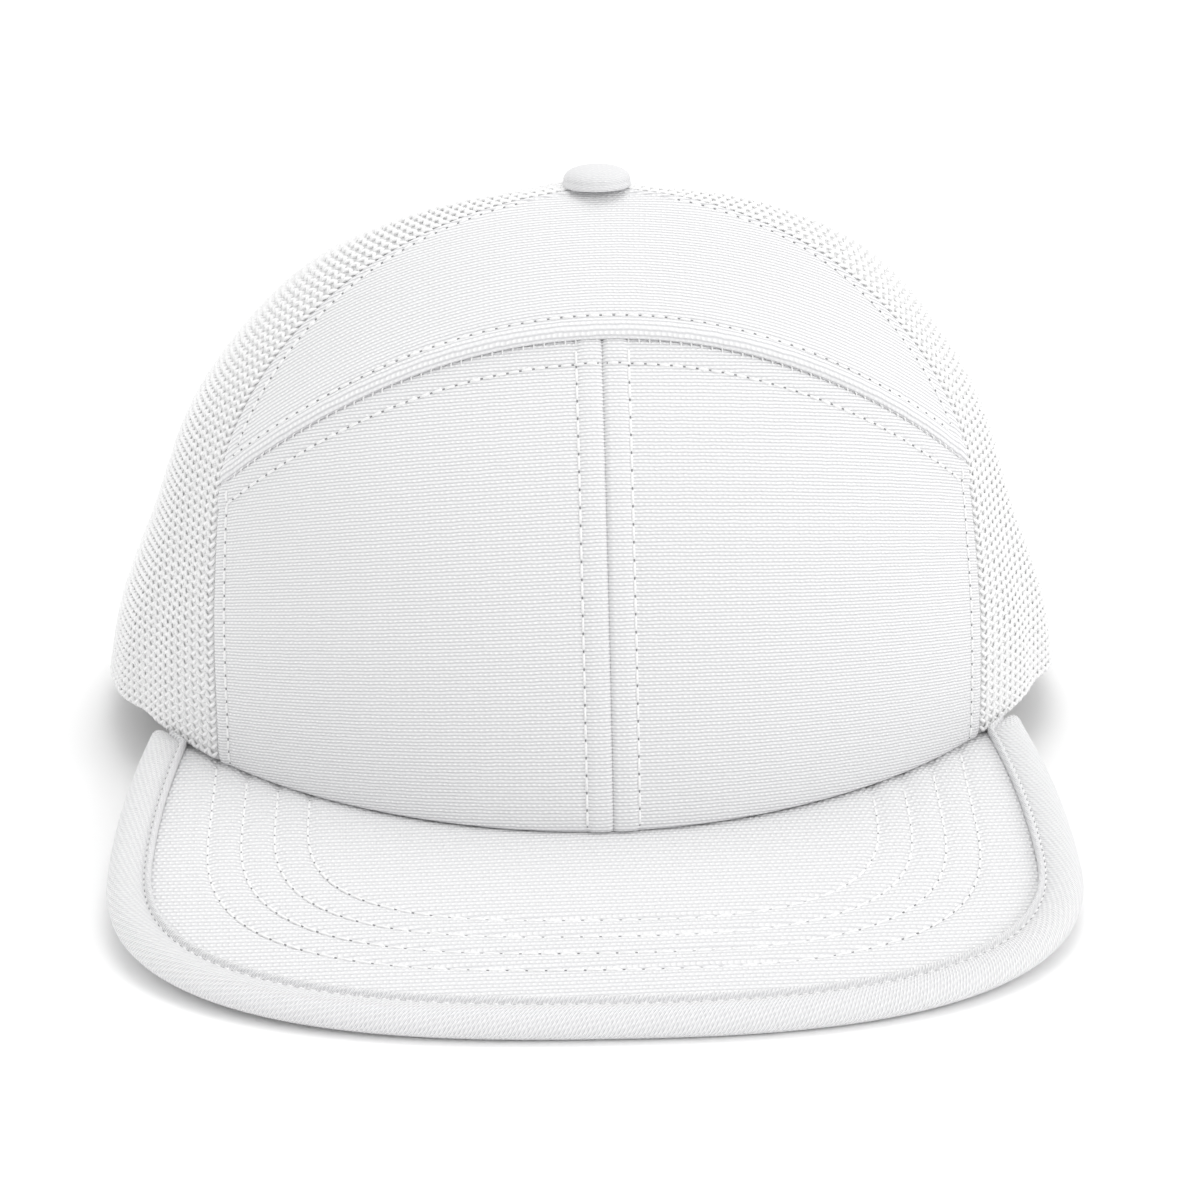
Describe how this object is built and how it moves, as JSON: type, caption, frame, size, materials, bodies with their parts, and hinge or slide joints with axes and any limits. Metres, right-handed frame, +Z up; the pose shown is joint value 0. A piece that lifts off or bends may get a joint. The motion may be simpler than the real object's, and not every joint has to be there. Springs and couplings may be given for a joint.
{
  "type": "seven panel trucker cap",
  "caption": "Front-peaked cap with a smooth padded front, a crescent panel over the brow, mesh sides and back, and a flat wide peak with a bound edge.",
  "frame": {"origin": "on the surface the cap stands on, under the middle of its outline", "axes": "+Z up, -Y towards the front of the peak, +X to the right as seen from the front"},
  "size_m": [0.1966, 0.2554, 0.1223],
  "materials": {
    "front_cloth": "white dotted knit over foam",
    "mesh_knit": "white raised-loop mesh knit",
    "binding_cloth": "white fine knit, padded",
    "band_cloth": "white woven band",
    "strap_plastic": "white moulded strap"
  },
  "bodies": {
    "root": {"top_panel": "front_cloth", "front_panel_left": "front_cloth", "front_panel_right": "front_cloth", "side_mesh_left": "mesh_knit", "side_mesh_right": "mesh_knit", "back_mesh_left": "mesh_knit", "back_mesh_right": "mesh_knit", "button": "front_cloth", "visor": "front_cloth", "visor_binding": "binding_cloth", "sweatband": "band_cloth", "rear_strap": "strap_plastic"}
  },
  "joints": []
}
